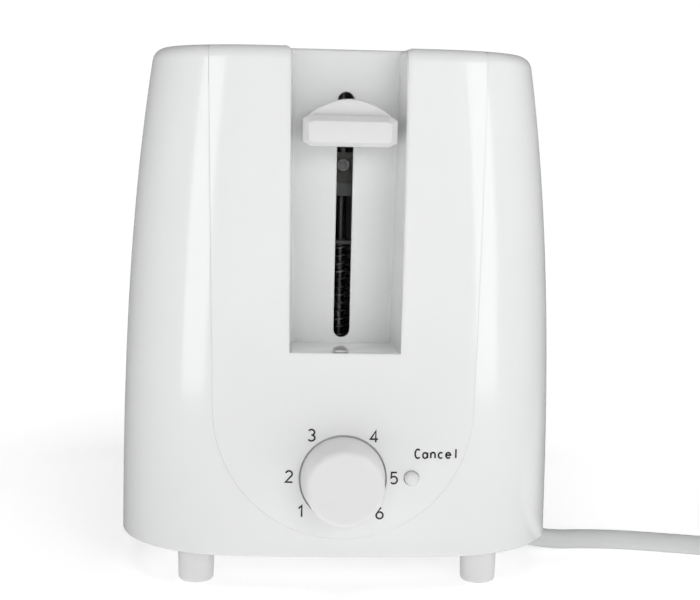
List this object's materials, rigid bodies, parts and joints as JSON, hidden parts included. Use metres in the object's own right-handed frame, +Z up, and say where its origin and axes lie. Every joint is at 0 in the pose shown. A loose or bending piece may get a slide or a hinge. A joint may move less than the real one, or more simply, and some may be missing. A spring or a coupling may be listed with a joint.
{
  "type": "pop-up toaster",
  "caption": "Two-slot pop-up toaster with an end-mounted lever, browning dial, cancel button, rear crumb tray and coiled mains lead.",
  "frame": {"origin": "centre of the toaster's own bounding box in plan, cord set left out, at the surface that its feet stand on", "axes": "+Y from the control end to the rear end, +Z up, +X to the right as seen from the control end"},
  "size_m": [0.3497, 0.2799, 0.19],
  "materials": {
    "housing_plastic": "moulded, high gloss",
    "trim_plastic": "moulded, soft gloss",
    "galvanised_steel": "bright galvanised sheet",
    "plain_steel": "plain steel",
    "spring_steel": "drawn wire",
    "mica": "pressed mica board",
    "heating_ribbon": "heat-tinted ribbon",
    "circuit_board": "phenolic board",
    "black_plastic": "moulded",
    "copper_winding": "enamelled wire",
    "nickel_brass": "nickel plated",
    "cord_sheath": "soft sheath",
    "terminal_plastic": "moulded",
    "brown_insulation": "soft",
    "blue_insulation": "soft",
    "green_yellow_insulation": "soft",
    "tie_fabric": "woven strap"
  },
  "bodies": {
    "housing": {"outer_shell": "housing_plastic", "base_plate": "trim_plastic", "foot_front_left": "trim_plastic", "foot_front_right": "trim_plastic", "foot_rear_left": "trim_plastic", "foot_rear_right": "trim_plastic", "base_screw_front_left": "plain_steel", "base_screw_front_right": "plain_steel", "base_screw_rear_left": "plain_steel", "base_screw_rear_right": "plain_steel", "front_end_plate": "galvanised_steel", "rear_end_plate": "galvanised_steel", "guide_rod": "plain_steel", "element_card_centre": "mica", "element_card_left": "mica", "element_card_right": "mica", "element_ribbon_centre_left": "heating_ribbon", "element_ribbon_centre_right": "heating_ribbon", "element_ribbon_left": "heating_ribbon", "element_ribbon_right": "heating_ribbon", "heat_shield_left": "galvanised_steel", "heat_shield_right": "galvanised_steel", "return_spring": "spring_steel", "control_board": "circuit_board", "timer_potentiometer": "black_plastic", "cancel_switch": "black_plastic", "magnet_core": "plain_steel", "magnet_coil": "copper_winding", "mains_switch": "black_plastic", "terminal_block": "terminal_plastic", "live_lead": "brown_insulation", "neutral_lead": "blue_insulation", "earth_lead": "green_yellow_insulation", "cord_gland": "trim_plastic", "strain_relief": "cord_sheath", "power_cord": "cord_sheath", "cord_coil": "cord_sheath", "cord_tie": "tie_fabric", "cord_tail": "cord_sheath", "plug_body": "cord_sheath", "plug_pin_left": "nickel_brass", "plug_pin_right": "nickel_brass"},
    "carriage": {"carriage_bracket": "galvanised_steel", "lever_arm": "plain_steel", "lever_rivet": "plain_steel", "lever_handle": "trim_plastic", "latch_keeper": "plain_steel", "contact_presser": "black_plastic", "bread_rack_left": "galvanised_steel", "bread_rack_right": "galvanised_steel"},
    "dial": {"dial_knob": "trim_plastic", "dial_shaft": "terminal_plastic"},
    "cancel": {"cancel_button": "trim_plastic"},
    "tray": {"crumb_tray": "galvanised_steel"},
    "guide_left_outer": {"bread_guide_left_outer": "spring_steel"},
    "guide_left_inner": {"bread_guide_left_inner": "spring_steel"},
    "guide_right_outer": {"bread_guide_right_outer": "spring_steel"},
    "guide_right_inner": {"bread_guide_right_inner": "spring_steel"}
  },
  "joints": [
    {"name": "lever_slide", "type": "slide", "parent": "housing", "child": "carriage", "axis": [0, 0, -1], "range_m": [0, 0.07], "stiffness_N_per_m": 60, "springref_m": -0.03, "deforming": ["return_spring"]},
    {"name": "dial_turn", "type": "hinge", "parent": "housing", "child": "dial", "pos_m": [0, -0.123, 0.041], "axis": [0, 1, 0], "range_deg": [0, 263]},
    {"name": "cancel_press", "type": "slide", "parent": "housing", "child": "cancel", "axis": [0, 1, 0], "range_m": [0, 0.001], "stiffness_N_per_m": 600},
    {"name": "tray_slide", "type": "slide", "parent": "housing", "child": "tray", "axis": [0, 1, 0], "range_m": [0, 0.19]},
    {"name": "guide_left_outer_tilt", "type": "hinge", "parent": "housing", "child": "guide_left_outer", "pos_m": [-0.04, 0.021, 0.038], "axis": [0, 1, 0], "range_deg": [0, 4.5]},
    {"name": "guide_left_inner_tilt", "type": "hinge", "parent": "housing", "child": "guide_left_inner", "pos_m": [-0.006, 0.021, 0.038], "axis": [0, 1, 0], "range_deg": [-4.5, 0]},
    {"name": "guide_right_outer_tilt", "type": "hinge", "parent": "housing", "child": "guide_right_outer", "pos_m": [0.04, 0.021, 0.038], "axis": [0, 1, 0], "range_deg": [-4.5, 0]},
    {"name": "guide_right_inner_tilt", "type": "hinge", "parent": "housing", "child": "guide_right_inner", "pos_m": [0.006, 0.021, 0.038], "axis": [0, 1, 0], "range_deg": [0, 4.5]}
  ],
  "couplings": [
    {"joint": "guide_left_outer_tilt", "follows": "lever_slide", "rad_per_m": 1.1198},
    {"joint": "guide_left_inner_tilt", "follows": "lever_slide", "rad_per_m": -1.1198},
    {"joint": "guide_right_outer_tilt", "follows": "lever_slide", "rad_per_m": -1.1198},
    {"joint": "guide_right_inner_tilt", "follows": "lever_slide", "rad_per_m": 1.1198}
  ]
}
